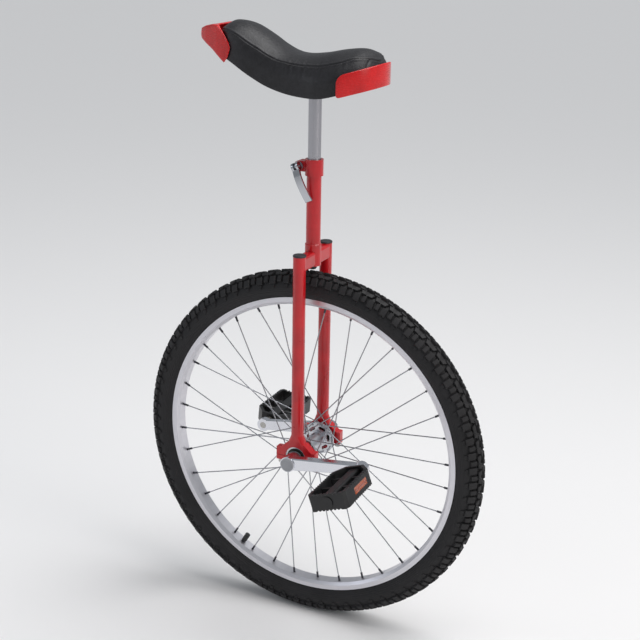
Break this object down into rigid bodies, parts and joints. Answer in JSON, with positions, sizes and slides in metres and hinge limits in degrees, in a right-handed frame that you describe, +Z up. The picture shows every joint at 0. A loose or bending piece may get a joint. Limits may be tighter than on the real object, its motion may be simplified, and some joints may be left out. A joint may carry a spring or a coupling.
{
  "type": "unicycle",
  "caption": "Unicycle with a wide wire-spoked wheel, straight two-leg frame, crank-driven platform pedals, quick-release seatpost and a curved padded saddle with a lifting handle.",
  "frame": {"origin": "point on the ground under the middle of the wheel", "axes": "+X forward to the saddle's nose, +Y to the rider's left along the wheel axle, +Z up"},
  "size_m": [0.6649, 0.451, 1.0856],
  "materials": {
    "frame_paint": "gloss red paint",
    "black_plastic": "moulded",
    "pedal_plastic": "moulded polypropylene",
    "zinc_steel": "zinc plated",
    "bearing_steel": "ground",
    "seal_rubber": "matt",
    "lever_chrome": "polished",
    "tyre_rubber": "matt",
    "rim_alloy": "silver anodised",
    "hub_alloy": "turned",
    "spoke_steel": "bright drawn wire",
    "nipple_brass": "nickel plated",
    "crank_alloy": "polished",
    "cap_plastic": "grey moulded",
    "post_steel": "satin",
    "saddle_foam_slot": "foam",
    "saddle_vinyl": "grained synthetic leather",
    "bumper_red": "gloss",
    "reflector_amber": "prismatic amber"
  },
  "bodies": {
    "frame": {"seat_tube": "frame_paint", "seat_tube_plug": "black_plastic", "crown_sleeve": "frame_paint", "crown_bridge_left": "frame_paint", "crown_bridge_right": "frame_paint", "leg_left": "frame_paint", "leg_right": "frame_paint", "leg_end_caps": "black_plastic", "bearing_holder_left": "frame_paint", "bearing_holder_right": "frame_paint", "bearing_lower_cap_left": "frame_paint", "bearing_lower_cap_right": "frame_paint", "bearing_cap_bolts": "zinc_steel", "bearing_cap_washers": "zinc_steel", "bearing_outer_rings": "bearing_steel", "bearing_seals": "seal_rubber", "seat_collar": "frame_paint", "clamp_skewer": "lever_chrome", "clamp_cam_washer": "lever_chrome"},
    "wheel": {"tyre": "tyre_rubber", "inner_tube": "seal_rubber", "rim_tape": "seal_rubber", "rim": "rim_alloy", "valve_stem": "nipple_brass", "valve_cap": "black_plastic", "spoke_nipples": "nipple_brass", "spokes_left_leading": "spoke_steel", "spokes_left_trailing": "spoke_steel", "spokes_right_leading": "spoke_steel", "spokes_right_trailing": "spoke_steel", "hub_shell": "hub_alloy", "axle": "zinc_steel", "bearing_inner_rings": "bearing_steel", "bearing_balls": "zinc_steel", "axle_spacers": "zinc_steel", "crank_left": "crank_alloy", "crank_right": "crank_alloy", "crank_bolts": "zinc_steel", "crank_dust_caps": "cap_plastic", "pedal_spindle_left": "zinc_steel", "pedal_spindle_right": "zinc_steel"},
    "pedal_left": {"pedal_body_left": "pedal_plastic", "pedal_reflectors_left": "reflector_amber", "pedal_bushes_left": "zinc_steel", "pedal_end_cap_left": "pedal_plastic"},
    "pedal_right": {"pedal_body_right": "pedal_plastic", "pedal_reflectors_right": "reflector_amber", "pedal_bushes_right": "zinc_steel", "pedal_end_cap_right": "pedal_plastic"},
    "seat": {"seat_post": "post_steel", "saddle_pan": "black_plastic", "saddle_foam": "saddle_foam_slot", "saddle_cover": "saddle_vinyl", "saddle_studs": "zinc_steel", "saddle_nuts": "zinc_steel", "saddle_front_bumper": "bumper_red", "saddle_rear_bumper": "bumper_red", "bumper_screws": "zinc_steel"},
    "release_lever": {"quick_release_lever": "lever_chrome"},
    "adjusting_nut": {"clamp_adjusting_nut": "lever_chrome"}
  },
  "joints": [
    {"name": "wheel_spin", "type": "hinge", "parent": "frame", "child": "wheel", "pos_m": [0, 0, 0.3325], "axis": [0, 1, 0], "continuous": true},
    {"name": "left_pedal_spin", "type": "hinge", "parent": "wheel", "child": "pedal_left", "pos_m": [-0.13864, 0.16, 0.35198], "axis": [0, 1, 0], "continuous": true},
    {"name": "right_pedal_spin", "type": "hinge", "parent": "wheel", "child": "pedal_right", "pos_m": [0.13864, -0.16, 0.31302], "axis": [0, 1, 0], "continuous": true},
    {"name": "seatpost_slide", "type": "slide", "parent": "frame", "child": "seat", "axis": [0, 0, 1], "range_m": [-0.07, 0.035]},
    {"name": "release_lever_swing", "type": "hinge", "parent": "frame", "child": "release_lever", "pos_m": [0.025, 0.0186, 0.85], "axis": [0.9135, 0, -0.4067], "range_deg": [0, 165]},
    {"name": "adjusting_nut_turn", "type": "hinge", "parent": "frame", "child": "adjusting_nut", "pos_m": [0.025, -0.012, 0.85], "axis": [0, 1, 0], "continuous": true}
  ]
}
